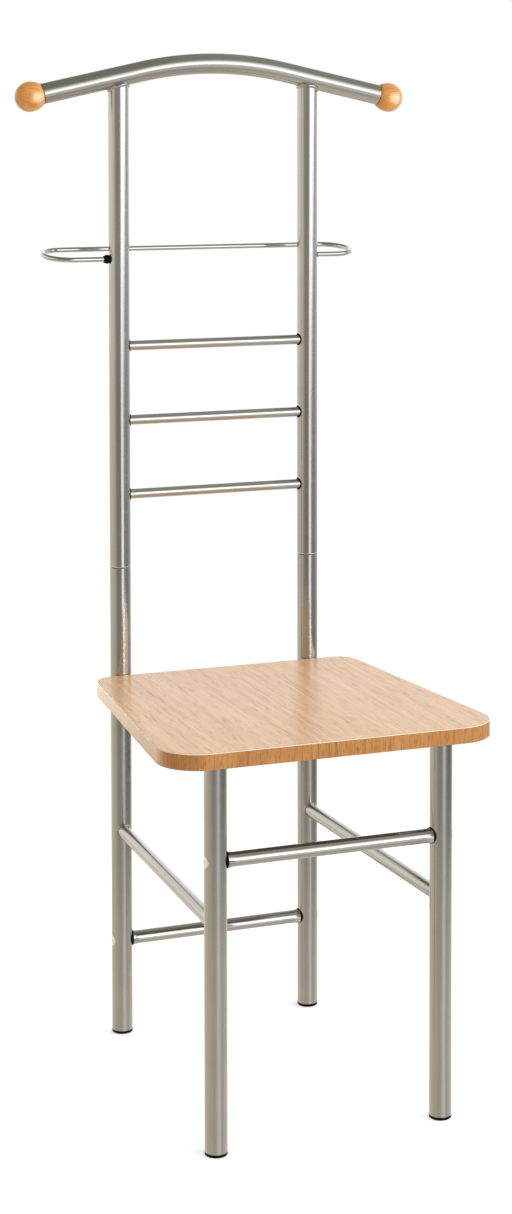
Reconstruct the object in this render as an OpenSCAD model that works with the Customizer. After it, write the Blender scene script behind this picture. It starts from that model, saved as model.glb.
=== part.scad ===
// Clothes valet chair: a low seat on four tube legs, with a taller back frame
// that carries three rungs, a wire trouser bar and a coat hanger bar.
// Millimetres, +Z up, the front towards -Y. The origin is on the floor, under
// the middle of the whole object.

/* [Legs] */
// Distance between the two back legs, centre to centre
back_leg_spacing = 244; // [225:1:270]
// Distance between the two front legs, centre to centre
front_leg_spacing = 266; // [245:1:290]
// Distance from the front legs to the back legs, centre to centre
leg_depth = 366; // [330:1:400]
// Outside diameter of the legs, posts and hanger bar
leg_diameter = 25; // [22:0.5:28]
// Wall of the legs, posts and hanger bar
leg_wall = 1.5; // [1:0.1:2]
// Height of a foot's rim below its leg
foot_rim = 3.5; // [2:0.5:6]
// Width of the chamfer round a foot's sole
foot_chamfer = 0.8; // [0.2:0.1:1.5]
// Length of a foot's plug inside its leg
foot_plug_length = 20; // [12:1:30]
// Wall of a foot's plug
foot_plug_wall = 2.5; // [1.5:0.1:4]

/* [Seat] */
// Height of the seat's top above the floor
seat_height = 442; // [400:1:480]
// Thickness of the seat board
seat_thickness = 18; // [15:1:25]
// Width of the seat along its back edge, before the corners are rounded
seat_back_width = 332; // [310:1:360]
// Width of the seat along its front edge, before the corners are rounded
seat_front_width = 400; // [370:1:430]
// How far the seat reaches past the middle of the front legs
seat_front_overhang = 18; // [14:1:40]
// How far the seat sits to the right of the frame's middle
seat_side_shift = 6; // [0:1:10]
// Radius of the seat's front corners
seat_front_radius = 46; // [20:1:60]
// Radius of the seat's back corners
seat_back_radius = 25; // [10:1:40]
// Thickness of the veneer strip round the seat's edge
edge_band_thickness = 1; // [0.5:0.1:2]
// Thickness of the steel straps that carry the seat
bracket_thickness = 3; // [2:0.5:4]
// Reach of a strap from the middle of its leg to its screw
bracket_reach = 40; // [34:1:50]

/* [Stretchers] */
// Outside diameter of the stretcher tubes
stretcher_diameter = 16; // [14:0.5:18]
// Wall of the stretcher tubes
stretcher_wall = 1.2; // [1:0.1:1.6]
// Height of the front stretcher's centre line
front_stretcher_height = 320; // [290:1:360]
// Height of the back stretcher's centre line
back_stretcher_height = 114; // [90:1:150]
// Height of the side stretchers' centre lines
side_stretcher_height = 250; // [200:1:270]
// How much wider a bolted stretcher's flared end is than its tube
flare_growth = 2.2; // [0:0.1:3]
// Length of a stretcher's flared end
flare_length = 9; // [4:0.5:12]
// Thickness of the plastic saddle between a stretcher and its leg
saddle_thickness = 1.4; // [1:0.1:3]
// How far a saddle's rim lies inside the flared end of its stretcher
saddle_inset = 1; // [0:0.1:1.5]
// Length of a saddle's barrel inside its stretcher
saddle_barrel_length = 22; // [18:1:30]

/* [Back frame] */
// Height of the joint between a back leg and its post
post_joint_height = 572; // [520:1:590]
// Height of the dark ring that shows in the joint
joint_ring_height = 0.8; // [0.4:0.1:2]
// Width of the chamfer on the tube ends at the joint
joint_chamfer = 0.5; // [0.2:0.1:1]
// Length of a connector inside its back leg
connector_depth = 45; // [30:1:70]
// Length of a connector inside its post
connector_height = 60; // [40:1:75]
// Size of the taper that leads a post onto its connector
connector_taper = 1; // [0.5:0.1:2]
// Wall of a connector
connector_wall = 2.5; // [1.5:0.1:4]
// Outside diameter of the rungs
rung_diameter = 12; // [8:0.5:14]
// Wall of the rungs
rung_wall = 1; // [0.8:0.1:1.5]
// Height of the top rung's centre line
top_rung_height = 840; // [820:1:870]
// Distance from one rung to the next
rung_pitch = 90; // [70:1:95]
// How far a rung's end reaches past the post's wall
rung_tuck = 2; // [0.5:0.5:5]

/* [Hanger] */
// Height of the hanger bar's centre line at its middle
hanger_height = 1180; // [1120:1:1260]
// Distance between the centres of the two knobs
hanger_span = 463; // [420:1:520]
// Radius of the bend in the middle of the hanger bar
hanger_bend_radius = 430; // [300:5:450]
// Slope of the hanger bar's straight arms, in degrees
hanger_slope = 12.4; // [6:0.1:14]
// How much the tube's radius draws in round the bend
bend_draw = 0.1; // [0.05:0.01:0.3]
// How far a post's end reaches up past the hanger bar's underside
post_end_rise = 2.8; // [2:0.1:6]
// Diameter of the knobs
knob_diameter = 36; // [32:1:44]
// Distance from a knob's centre to its flat face
knob_flat_distance = 14.8; // [14.5:0.1:15.5]
// How far a knob's flat face reaches past the hanger bar's surface
knob_lip = 0.3; // [0:0.1:1]
// Gap that shows between a knob and the end of the hanger bar
knob_gap = 0.6; // [0.2:0.1:1.5]
// Length of a knob's tenon inside the hanger bar
knob_tenon_length = 18; // [10:1:30]

/* [Trouser bar] */
// Diameter of the trouser bar's wire
wire_diameter = 6; // [4:0.5:7]
// Height of the trouser bar's pivots
trouser_bar_height = 945; // [920:1:990]
// Distance from the pivots to the far run of the trouser bar
trouser_bar_depth = 58.8; // [44:0.2:80]
// Overall length of the trouser bar
trouser_bar_length = 403; // [380:1:440]
// How far the trouser bar sits to the left of the frame's middle
trouser_bar_side_shift = 9; // [0:1:12]
// Angle that the trouser bar rises behind its pivots, in degrees
trouser_bar_rise = 8.8; // [0:0.1:20]
// How far the wire's ends reach past the middle of their posts
wire_end_reach = 3; // [0:0.5:6]
// Wall of a pivot bush where it passes through its post
bush_wall = 1.5; // [0.8:0.1:2.5]
// How far the left bush's flange stands out past its hole
bush_flange = 1; // [0.5:0.1:2]
// How far the left bush stands out from its post
bush_length = 7; // [4:0.5:10]
// How far a bush reaches in past its post's wall
bush_tuck = 1; // [0.5:0.1:2]
// Wall of the left bush at its outer end
bush_tip = 0.8; // [0.4:0.1:1.2]

/* [Fasteners] */
// Diameter of the stretcher screws
screw_diameter = 6; // [5:0.5:6]
// Diameter of the stretcher screws' heads
screw_head_diameter = 14; // [9:0.1:15]
// Height of the stretcher screws' heads
screw_head_height = 1.2; // [1.2:0.1:4]
// Depth of the cross recess in a stretcher screw's head
screw_recess_depth = 0.8; // [0.6:0.1:1.8]
// Length of each arm of the cross recess, from end to end
screw_recess_length = 6.4; // [4:0.1:7]
// Width of each arm of the cross recess
screw_recess_width = 1.4; // [0.8:0.1:1.6]
// Depth of a nut inside its plug, from the saddle
nut_inset = 3; // [2:0.5:6]
// Outside diameter of the nuts inside the stretchers
nut_diameter = 10; // [8.5:0.5:10.5]
// Length of the nuts inside the stretchers
nut_length = 12; // [8:1:14]
// Diameter of the seat's wood screws
seat_screw_diameter = 4; // [3:0.5:5]
// Diameter of the wood screws' heads
seat_screw_head_diameter = 8; // [7:0.5:10]
// Height of the wood screws' heads
seat_screw_head_height = 2.4; // [1.5:0.1:3]
// Length of the wood screws' points
seat_screw_point = 3; // [2:0.5:5]
// Depth of a wood screw in the seat board
seat_screw_depth = 12; // [8:0.5:13]

/* [Fits] */
// Radial gap between two pieces that fit together
slip = 0.05; // [0.02:0.01:0.1]
// Gap under a weld, between a tube's shaped end and what it meets
weld_gap = 0.1; // [0.05:0.01:0.2]
// Gap round a screw in its clearance hole
screw_play = 0.2; // [0.1:0.05:0.5]
// Gap between the seat's back edge and the back legs
seat_post_gap = 0.3; // [0.1:0.1:2]

/* [Hidden] */
$fn = 96;
SIDES = [-1, 1];
FRONT = true;
BACK = false;
ENDS = [FRONT, BACK];

leg_r = leg_diameter / 2;
leg_bore_r = leg_r - leg_wall;
stretcher_r = stretcher_diameter / 2;
stretcher_bore_r = stretcher_r - stretcher_wall;
rung_r = rung_diameter / 2;
wire_r = wire_diameter / 2;
knob_r = knob_diameter / 2;
screw_r = screw_diameter / 2;
screw_head_r = screw_head_diameter / 2;
nut_r = nut_diameter / 2;
seat_screw_r = seat_screw_diameter / 2;
seat_screw_head_r = seat_screw_head_diameter / 2;
bush_r = wire_r + bush_wall;

// How far the trouser bar's far run lies behind the posts' centres
loop_rear = trouser_bar_depth * cos(trouser_bar_rise);
// The whole object, from the seat to the far run, is centred front to back
back_y = (leg_depth + seat_front_overhang - loop_rear - wire_r) / 2;
front_y = back_y - leg_depth;

seat_bottom = seat_height - seat_thickness;
leg_top = seat_bottom - bracket_thickness;
seat_back_y = back_y - leg_r - seat_post_gap;
seat_front_y = front_y - seat_front_overhang;
seat_screw_length = bracket_thickness + seat_screw_depth;
post_bottom = post_joint_height + joint_ring_height;

// A saddle is this far across, seen along its leg
saddle_r = leg_r + saddle_thickness;
flare_r = stretcher_r + flare_growth / 2;
saddle_end = saddle_r + saddle_barrel_length;
nut_start = saddle_r + nut_inset;
nut_end = nut_start + nut_length;

// The hanger bar's middle bend ends here, and its straight arms start
hanger_bend_x = hanger_bend_radius * sin(hanger_slope);
hanger_bend_z = hanger_height - hanger_bend_radius * (1 - cos(hanger_slope));
// Distance along an arm to its knob's centre, and to the tube's end
arm_to_knob = (hanger_span / 2 - hanger_bend_x) / cos(hanger_slope);
arm_length = arm_to_knob - knob_flat_distance - knob_gap;

loop_bend_r = trouser_bar_depth / 2;
loop_half = trouser_bar_length / 2 - wire_r - loop_bend_r;

function unit(v) = v / norm(v);

// Where a leg's centre line meets the floor
function leg_at(side, end) =
    [side * (end == FRONT ? front_leg_spacing : back_leg_spacing) / 2, end == FRONT ? front_y : back_y, 0];

// Where a bolted stretcher's centre line meets its leg's
function stretcher_end(side, end) =
    leg_at(side, end) + [0, 0, end == FRONT ? front_stretcher_height : back_stretcher_height];

// Where a strap's screw enters the seat: front straps reach back and back
// straps reach forwards
function strap_screw_at(side, end) =
    leg_at(side, end) + [0, (end == FRONT ? 1 : -1) * bracket_reach, 0];

// ---- shared shapes -------------------------------------------------------

// A tube along Z from z0 to z1, with its top outer edge chamfered
module tube(r, bore, z0, z1, chamfer = 0)
    rotate_extrude()
        polygon([[bore, z0], [r, z0], [r, z1 - chamfer], [r - chamfer, z1], [bore, z1]]);

// A rod along X from x0 to x1
module rod_x(r, x0, x1)
    translate([x0, 0, 0])
        rotate([0, 90, 0])
            cylinder(r = r, h = x1 - x0);

// A rod along X from the middle outwards, through one wall of a tube
module hole_x(r, side)
    rod_x(r, side > 0 ? 0 : -leg_diameter, side > 0 ? leg_diameter : 0);

// Corner p of an outline between its neighbours a and b, rounded to radius r
// and pulled in by inset
function corner_arc(p, a, b, r, inset, steps = 14) =
    let (
        to_a = unit(a - p),
        to_b = unit(b - p),
        half = acos(to_a * to_b) / 2,
        centre = p + unit(to_a + to_b) * r / sin(half),
        start = atan2(-to_a.x, to_a.y) + 180,
        turn = 180 - 2 * half
    )
    [for (i = [0:steps])
        centre + (r - inset) * [cos(start + turn * i / steps), sin(start + turn * i / steps)]];

// ---- legs and feet -------------------------------------------------------

module front_leg(side)
    color([0.72, 0.71, 0.69])
        translate(leg_at(side, FRONT))
            difference() {
                tube(leg_r, leg_bore_r, foot_rim, leg_top);
                stretcher_screw_holes(front_stretcher_height);
            }

module back_leg(side)
    color([0.72, 0.71, 0.69])
        translate(leg_at(side, BACK))
            difference() {
                tube(leg_r, leg_bore_r, foot_rim, post_joint_height, joint_chamfer);
                stretcher_screw_holes(back_stretcher_height);
            }

module stretcher_screw_holes(height)
    translate([0, 0, height])
        rod_x(screw_r + screw_play, -leg_diameter, leg_diameter);

// A foot: a sole under the leg and a hollow plug inside it
module foot(side, end)
    color([0.07, 0.07, 0.07])
        translate(leg_at(side, end))
            rotate_extrude() {
                plug_r = leg_bore_r - slip;
                hollow_r = plug_r - foot_plug_wall;
                top = foot_rim + foot_plug_length;
                polygon([
                    [0, 0], [leg_r - foot_chamfer, 0], [leg_r, foot_chamfer], [leg_r, foot_rim],
                    [plug_r, foot_rim], [plug_r, top], [hollow_r, top], [hollow_r, foot_rim], [0, foot_rim]
                ]);
            }

// ---- stretchers ----------------------------------------------------------

// A side stretcher is welded between the legs, its ends shaped to their curve
module side_stretcher(side)
    color([0.72, 0.71, 0.69])
        difference() {
            run = leg_at(side, FRONT) - leg_at(side, BACK);
            translate(leg_at(side, BACK) + [0, 0, side_stretcher_height])
                rotate([0, 90, atan2(run.y, run.x)])
                    tube(stretcher_r, stretcher_bore_r, 0, norm(run));
            for (end = ENDS)
                translate(leg_at(side, end))
                    cylinder(r = leg_r + weld_gap, h = seat_height);
        }

// A bolted stretcher has flared ends, shaped to the saddles on its two legs
module bolted_stretcher(end)
    color([0.8, 0.8, 0.8])
        difference() {
            half = stretcher_end(1, end).x - leg_r;
            steps = 6;
            flare = [for (i = [0:steps]) [
                stretcher_r + (flare_r - stretcher_r) * pow(i / steps, 2), half - flare_length * (1 - i / steps)
            ]];
            translate([0, stretcher_end(1, end).y, stretcher_end(1, end).z])
                rotate([0, 90, 0])
                    rotate_extrude()
                        polygon(concat(
                            [[stretcher_bore_r, half], [stretcher_bore_r, -half]],
                            [for (i = [steps:-1:0]) [flare[i].x, -flare[i].y]],
                            flare
                        ));
            for (side = SIDES)
                translate(leg_at(side, end))
                    cylinder(r = saddle_r + slip, h = seat_height);
        }

// Places its children at one end of a bolted stretcher, which leaves the leg
// towards +X
module at_stretcher_end(side, end)
    translate(stretcher_end(side, end))
        rotate([0, 0, side > 0 ? 180 : 0])
            children();

// A black plug: a saddle against the leg and a barrel inside the stretcher,
// with the screw's hole and the nut's pocket
module stretcher_plug(side, end)
    color([0.07, 0.07, 0.07])
        at_stretcher_end(side, end)
            difference() {
                union() {
                    intersection() {
                        rod_x(flare_r - saddle_inset, 0, saddle_r);
                        translate([0, 0, -leg_diameter])
                            cylinder(r = saddle_r, h = 2 * leg_diameter);
                    }
                    rod_x(stretcher_bore_r - slip, 0, saddle_end);
                }
                translate([0, 0, -leg_diameter])
                    cylinder(r = leg_r + slip, h = 2 * leg_diameter);
                rod_x(screw_r + screw_play, 0, saddle_end + 1);
                rod_x(nut_r + slip, nut_start - slip, saddle_end + 1);
            }

module stretcher_nuts()
    color([0.6, 0.6, 0.6])
        for (side = SIDES, end = ENDS)
            at_stretcher_end(side, end)
                difference() {
                    rod_x(nut_r, nut_start, nut_end);
                    rod_x(screw_r + slip, nut_start - 1, nut_end + 1);
                }

// Domed screws with a cross recess, their heads on the outside of the legs
module stretcher_screws()
    color([0.85, 0.85, 0.85])
        for (side = SIDES, end = ENDS)
            at_stretcher_end(side, end)
                difference() {
                    length = leg_r + nut_end;
                    rim = screw_head_height / 3;
                    steps = 8;
                    translate([-leg_r, 0, 0])
                        rotate([0, 90, 0])
                            rotate_extrude()
                                polygon(concat(
                                    [[0, length], [screw_r, length], [screw_r, 0], [screw_head_r, 0]],
                                    [for (i = [0:steps]) [
                                        screw_head_r * cos(90 * i / steps),
                                        -rim - (screw_head_height - rim) * sin(90 * i / steps)
                                    ]]
                                ));
                    for (turn = [0, 90])
                        translate([-leg_r - screw_head_height, 0, 0])
                            rotate([turn, 0, 0])
                                cube([2 * screw_recess_depth, screw_recess_width, screw_recess_length],
                                    center = true);
                }

// ---- seat ----------------------------------------------------------------

// The seat's outline, pulled in by inset all round
module seat_outline(inset) {
    front = seat_front_width / 2;
    back = seat_back_width / 2;
    corners = [[-front, seat_front_y], [front, seat_front_y], [back, seat_back_y], [-back, seat_back_y]];
    radii = [seat_front_radius, seat_front_radius, seat_back_radius, seat_back_radius];
    translate([seat_side_shift, 0])
        polygon([for (i = [0:3])
            each corner_arc(corners[i], corners[(i + 3) % 4], corners[(i + 1) % 4], radii[i], inset)]);
}

module seat_panel()
    color([0.88, 0.75, 0.62])
        difference() {
            translate([0, 0, seat_bottom])
                linear_extrude(seat_thickness)
                    seat_outline(edge_band_thickness);
            for (side = SIDES, end = ENDS)
                translate(strap_screw_at(side, end) + [0, 0, seat_bottom - 1])
                    cylinder(r = seat_screw_r + slip, h = 1 + seat_screw_depth + slip);
        }

module seat_edge_band()
    color([0.78, 0.57, 0.36])
        translate([0, 0, seat_bottom])
            linear_extrude(seat_thickness)
                difference() {
                    seat_outline(0);
                    seat_outline(edge_band_thickness);
                }

// A steel strap as wide as its leg, with a round end about its screw
module strap(side, end)
    difference() {
        from = leg_at(side, end);
        to = strap_screw_at(side, end);
        translate([0, 0, leg_top])
            linear_extrude(bracket_thickness)
                union() {
                    translate(to)
                        circle(r = leg_r);
                    translate(from)
                        rotate(atan2(to.y - from.y, to.x - from.x))
                            translate([0, -leg_r])
                                square([bracket_reach, leg_diameter]);
                }
        translate(to + [0, 0, leg_top - 1])
            cylinder(r = seat_screw_r + screw_play, h = bracket_thickness + 2);
    }

// A front strap closes the top of its leg and reaches in under the seat
module front_bracket(side)
    color([0.6, 0.6, 0.6])
        union() {
            strap(side, FRONT);
            translate(leg_at(side, FRONT) + [0, 0, leg_top])
                cylinder(r = leg_r, h = bracket_thickness);
        }

// A back strap is welded to the front of its leg
module back_bracket(side)
    color([0.6, 0.6, 0.6])
        difference() {
            strap(side, BACK);
            translate(leg_at(side, BACK))
                cylinder(r = leg_r + weld_gap, h = seat_height);
        }

module seat_screws()
    color([0.6, 0.6, 0.6])
        for (side = SIDES, end = ENDS)
            translate(strap_screw_at(side, end) + [0, 0, leg_top])
                rotate_extrude()
                    polygon([
                        [0, -seat_screw_head_height], [seat_screw_head_r / 2, -seat_screw_head_height],
                        [seat_screw_head_r, -seat_screw_head_height / 3], [seat_screw_head_r, 0],
                        [seat_screw_r, 0], [seat_screw_r, seat_screw_length - seat_screw_point],
                        [0, seat_screw_length]
                    ]);

// ---- back frame ----------------------------------------------------------

// A connector is pressed into its back leg, and the post drops over it. Its
// collar shows as the dark ring between them.
module post_connector(side)
    color([0.25, 0.25, 0.25])
        translate(leg_at(side, BACK) + [0, 0, post_joint_height])
            rotate_extrude() {
                outer = leg_bore_r - slip;
                inner = outer - connector_wall;
                collar = leg_r - joint_chamfer;
                top = joint_ring_height + connector_height;
                polygon([
                    [inner, -connector_depth], [outer, -connector_depth], [outer, 0], [collar, 0],
                    [collar, joint_ring_height], [outer, joint_ring_height],
                    [outer, top - connector_taper], [outer - connector_taper, top], [inner, top]
                ]);
            }

// Places its children where an arm of the hanger bar starts, with +Z along it
module on_arm(side)
    translate([side * hanger_bend_x, back_y, hanger_bend_z])
        rotate([0, side * (90 + hanger_slope), 0])
            children();

// The hanger bar's path as a solid rod, with its arms longer by extra. The
// arms start just inside the bend.
module hanger_rod(r, extra = 0) {
    lap = leg_wall / 3;
    translate([0, back_y, hanger_height - hanger_bend_radius])
        rotate([90, hanger_slope - 90, 0])
            rotate_extrude(angle = 2 * hanger_slope)
                translate([hanger_bend_radius, 0])
                    circle(r = r - bend_draw);
    for (side = SIDES)
        on_arm(side)
            translate([0, 0, -lap])
                cylinder(r = r, h = lap + arm_length + extra);
}

module hanger_bar()
    color([0.74, 0.73, 0.71])
        difference() {
            hanger_rod(leg_r);
            hanger_rod(leg_bore_r, 1);
        }

// A post runs from its joint up to the hanger bar's arm and is welded to it.
// Its inner wall has a hole for each rung and its outer wall one for the bush.
module post(side)
    color([0.74, 0.73, 0.71])
        difference() {
            translate(leg_at(side, BACK))
                difference() {
                    rotate_extrude()
                        polygon([
                            [leg_bore_r, post_bottom], [leg_r - joint_chamfer, post_bottom],
                            [leg_r, post_bottom + joint_chamfer],
                            [leg_r, hanger_height], [leg_bore_r, hanger_height]
                        ]);
                    for (i = [0:2])
                        translate([0, 0, top_rung_height - i * rung_pitch])
                            hole_x(rung_r + slip, -side);
                    translate([0, 0, trouser_bar_height])
                        hole_x(bush_r + slip, side);
                }
            on_arm(side) {
                end_drop = leg_r - post_end_rise;
                cylinder(r = leg_r + weld_gap, h = arm_length);
                translate([side > 0 ? -leg_diameter : -end_drop, -leg_diameter, 0])
                    cube([leg_diameter + end_drop, 2 * leg_diameter, arm_length]);
            }
        }

// Rung i, counted down from the top one
module rung(i)
    color([0.8, 0.8, 0.8])
        translate([0, back_y, top_rung_height - i * rung_pitch])
            difference() {
                reach = back_leg_spacing / 2 - leg_bore_r + rung_tuck;
                rod_x(rung_r, -reach, reach);
                rod_x(rung_r - rung_wall, -reach - 1, reach + 1);
            }

// A turned wooden ball, a little full on the side of its flat face, with a
// tenon that plugs into the hanger bar
module knob(side)
    color([0.82, 0.55, 0.3])
        on_arm(side)
            translate([0, 0, arm_to_knob])
                rotate_extrude() {
                    tenon_r = leg_bore_r - slip;
                    tenon_end = -knob_flat_distance - knob_gap - knob_tenon_length;
                    edge_angle = acos((leg_r + knob_lip) / knob_r);
                    full = knob_flat_distance / sin(edge_angle);
                    steps = 18;
                    polygon(concat(
                        [for (i = [0:steps]) knob_r * [sin(90 * i / steps), cos(90 * i / steps)]],
                        [for (i = [1:steps]) [
                            knob_r * cos(edge_angle * i / steps), -full * sin(edge_angle * i / steps)
                        ]],
                        [[tenon_r, -knob_flat_distance], [tenon_r, tenon_end], [0, tenon_end]]
                    ));
                }

// ---- trouser bar ---------------------------------------------------------

// A black bush that the wire's end turns in. The left one flares outside its
// post, and the right one is flush with it.
module trouser_bar_bush(side)
    color([0.07, 0.07, 0.07])
        translate(leg_at(side, BACK) + [0, 0, trouser_bar_height])
            rotate([0, side * 90, 0])
                rotate_extrude() {
                    hole_r = wire_r + slip;
                    flange_r = bush_r + bush_flange;
                    polygon([
                        [hole_r, leg_bore_r - bush_tuck], [bush_r, leg_bore_r - bush_tuck], [bush_r, leg_r],
                        each side > 0 ? [[hole_r, leg_r]] : [
                            [flange_r, leg_r + bush_length / 4], [flange_r, leg_r + bush_length / 2],
                            [hole_r + bush_tip, leg_r + bush_length], [hole_r, leg_r + bush_length]
                        ]
                    ]);
                }

// The wire leaves each post outwards, bends round behind it and runs across
// the back. It turns on its two ends.
module trouser_bar()
    color([0.85, 0.85, 0.85])
        translate([0, back_y, trouser_bar_height])
            rotate([trouser_bar_rise, 0, 0]) {
                end = back_leg_spacing / 2 - wire_end_reach;
                left = -loop_half - trouser_bar_side_shift;
                right = loop_half - trouser_bar_side_shift;
                rod_x(wire_r, left, -end);
                rod_x(wire_r, end, right);
                translate([0, trouser_bar_depth, 0])
                    rod_x(wire_r, left, right);
                translate([left, loop_bend_r, 0])
                    wire_bend(90);
                translate([right, loop_bend_r, 0])
                    wire_bend(-90);
            }

module wire_bend(start)
    rotate([0, 0, start])
        rotate_extrude(angle = 180)
            translate([loop_bend_r, 0])
                circle(r = wire_r);

front_leg(-1);  // front_leg_left
front_leg(1);  // front_leg_right
back_leg(-1);  // back_leg_left
back_leg(1);  // back_leg_right
foot(-1, FRONT);  // foot_front_left
foot(1, FRONT);  // foot_front_right
foot(-1, BACK);  // foot_back_left
foot(1, BACK);  // foot_back_right
side_stretcher(-1);  // side_stretcher_left
side_stretcher(1);  // side_stretcher_right
bolted_stretcher(FRONT);  // front_stretcher
bolted_stretcher(BACK);  // back_stretcher
stretcher_plug(-1, FRONT);  // stretcher_plug_front_left
stretcher_plug(1, FRONT);  // stretcher_plug_front_right
stretcher_plug(-1, BACK);  // stretcher_plug_back_left
stretcher_plug(1, BACK);  // stretcher_plug_back_right
stretcher_nuts();
stretcher_screws();
seat_panel();
seat_edge_band();
front_bracket(-1);  // seat_bracket_front_left
front_bracket(1);  // seat_bracket_front_right
back_bracket(-1);  // seat_bracket_back_left
back_bracket(1);  // seat_bracket_back_right
seat_screws();
post_connector(-1);  // post_connector_left
post_connector(1);  // post_connector_right
post(-1);  // post_left
post(1);  // post_right
rung(0);  // rung_top
rung(1);  // rung_middle
rung(2);  // rung_bottom
hanger_bar();
knob(-1);  // knob_left
knob(1);  // knob_right
trouser_bar_bush(-1);  // trouser_bar_bush_left
trouser_bar_bush(1);  // trouser_bar_bush_right
trouser_bar();
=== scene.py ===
import math

import bmesh
import bpy
from mathutils import Matrix, Vector


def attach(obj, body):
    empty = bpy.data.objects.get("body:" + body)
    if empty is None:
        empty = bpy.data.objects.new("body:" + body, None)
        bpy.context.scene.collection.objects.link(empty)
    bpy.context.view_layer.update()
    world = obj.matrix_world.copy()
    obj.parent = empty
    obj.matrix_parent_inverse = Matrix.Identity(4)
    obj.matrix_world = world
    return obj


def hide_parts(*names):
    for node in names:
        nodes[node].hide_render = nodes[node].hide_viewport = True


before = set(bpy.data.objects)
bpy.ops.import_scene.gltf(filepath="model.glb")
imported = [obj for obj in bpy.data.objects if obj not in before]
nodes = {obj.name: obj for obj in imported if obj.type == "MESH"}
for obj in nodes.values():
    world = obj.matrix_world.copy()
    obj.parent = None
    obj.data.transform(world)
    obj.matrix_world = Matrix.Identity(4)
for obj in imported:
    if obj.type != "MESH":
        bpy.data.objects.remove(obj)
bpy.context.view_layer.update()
scene = bpy.context.scene
print("frame loaded:", len(nodes), "nodes")


class Wire:  # a node's output, which sums can be written with
    def __init__(self, kit, socket):
        self.kit = kit
        self.socket = socket

    def also(self, name):  # another output of the same node
        return Wire(self.kit, self.kit.pick(self.socket.node.outputs, name))

    def __add__(self, other):
        return self.kit.maths("ADD", self, other)

    def __sub__(self, other):
        return self.kit.maths("SUBTRACT", self, other)

    def __rsub__(self, other):
        return self.kit.maths("SUBTRACT", other, self)

    def __mul__(self, other):
        return self.kit.maths("MULTIPLY", self, other)

    def __truediv__(self, other):
        return self.kit.maths("DIVIDE", self, other)

    def __rtruediv__(self, other):
        return self.kit.maths("DIVIDE", other, self)

    def __neg__(self):
        return self.kit.maths("SUBTRACT", 0, self)

    __radd__ = __add__
    __rmul__ = __mul__


class NodeKit:  # adds nodes to one tree
    def __init__(self, tree):
        self.tree = tree

    def pick(self, sockets, name):
        usable = [s for s in sockets if s.enabled and not s.is_unavailable]
        return usable[name] if isinstance(name, int) else next(s for s in usable if s.name == name)

    def feed(self, socket, value):
        if isinstance(value, Wire):
            self.tree.links.new(value.socket, socket)
        elif value is not None:
            socket.default_value = value

    def add(self, kind, settings=None, inputs=None, out=0):
        node = self.tree.nodes.new(kind)
        for name, value in (settings or {}).items():
            if name == "stops":
                setStops(node.color_ramp, value)
            else:
                setattr(node, name, value)
        for name, value in (inputs or {}).items():
            self.feed(self.pick(node.inputs, name), value)
        return Wire(self, self.pick(node.outputs, out)) if len(node.outputs) else node

    def maths(self, operation, *values):
        return self.add("ShaderNodeMath", {"operation": operation}, dict(enumerate(values)))

    def spread(self, value, low, high, toLow=0, toHigh=1):  # a soft step from one range to another
        return self.add(
            "ShaderNodeMapRange", {"interpolation_type": "SMOOTHSTEP"},
            {"Value": value, "From Min": low, "From Max": high, "To Min": toLow, "To Max": toHigh})

    def colour(self, share, a, b, way="MIX"):
        return self.add(
            "ShaderNodeMix", {"data_type": "RGBA", "blend_type": way}, {"Factor": share, "A": a, "B": b})

    def noise(self, place, scale=1, detail=2, rough=0.5, warp=0):
        return self.add("ShaderNodeTexNoise", {}, {
            "Vector": place, "Scale": scale, "Detail": detail, "Roughness": rough, "Distortion": warp})

    def placed(self, scale=(1, 1, 1), move=(0, 0, 0)):  # object coordinates, stretched
        place = self.add("ShaderNodeTexCoord", out="Object")
        return self.add("ShaderNodeMapping", {}, {"Vector": place, "Location": move, "Scale": scale})


def setStops(ramp, stops):
    for element in list(ramp.elements)[1:]:
        ramp.elements.remove(element)
    ramp.elements[0].position, ramp.elements[0].color = stops[0]
    for position, colour in stops[1:]:
        ramp.elements.new(position).color = colour


def tone(red, green, blue):  # a colour as seen on screen, made linear
    linear = [((c / 255 + 0.055) / 1.055) ** 2.4 if c > 10 else c / 255 / 12.92 for c in (red, green, blue)]
    return (*linear, 1)


def newFinish(name):
    finish = bpy.data.materials.new(name)
    finish.use_nodes = True
    finish.node_tree.nodes.clear()
    return finish, NodeKit(finish.node_tree)


def shade(kit, shine, **sockets):  # the shader: shine has its fixed values, sockets what varies
    values = {name.replace("_", " "): value for name, value in {**shine, **sockets}.items()}
    surface = kit.add("ShaderNodeBsdfPrincipled", {}, values)
    kit.add("ShaderNodeOutputMaterial", {}, {"Surface": surface})


def bumped(kit, height, depth):  # depth in metres
    return kit.add("ShaderNodeBump", {}, {"Height": height, "Distance": depth, "Strength": 1})


silver = {
    "colour": tone(185, 184, 180), "fleck": tone(201, 200, 198), "shadow": tone(171, 169, 164),
    "flakes": 1700, "drawing": 900, "clouds": 11, "wear": 46, "metal": 0.94, "roughness": 0.15,
    "smudge": 0.04, "coat": 0.12, "grain": 0.0000012,
}
axisStretch = {"x": (0.02, 1, 1), "y": (1, 0.02, 1), "z": (1, 1, 0.02)}


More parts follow.
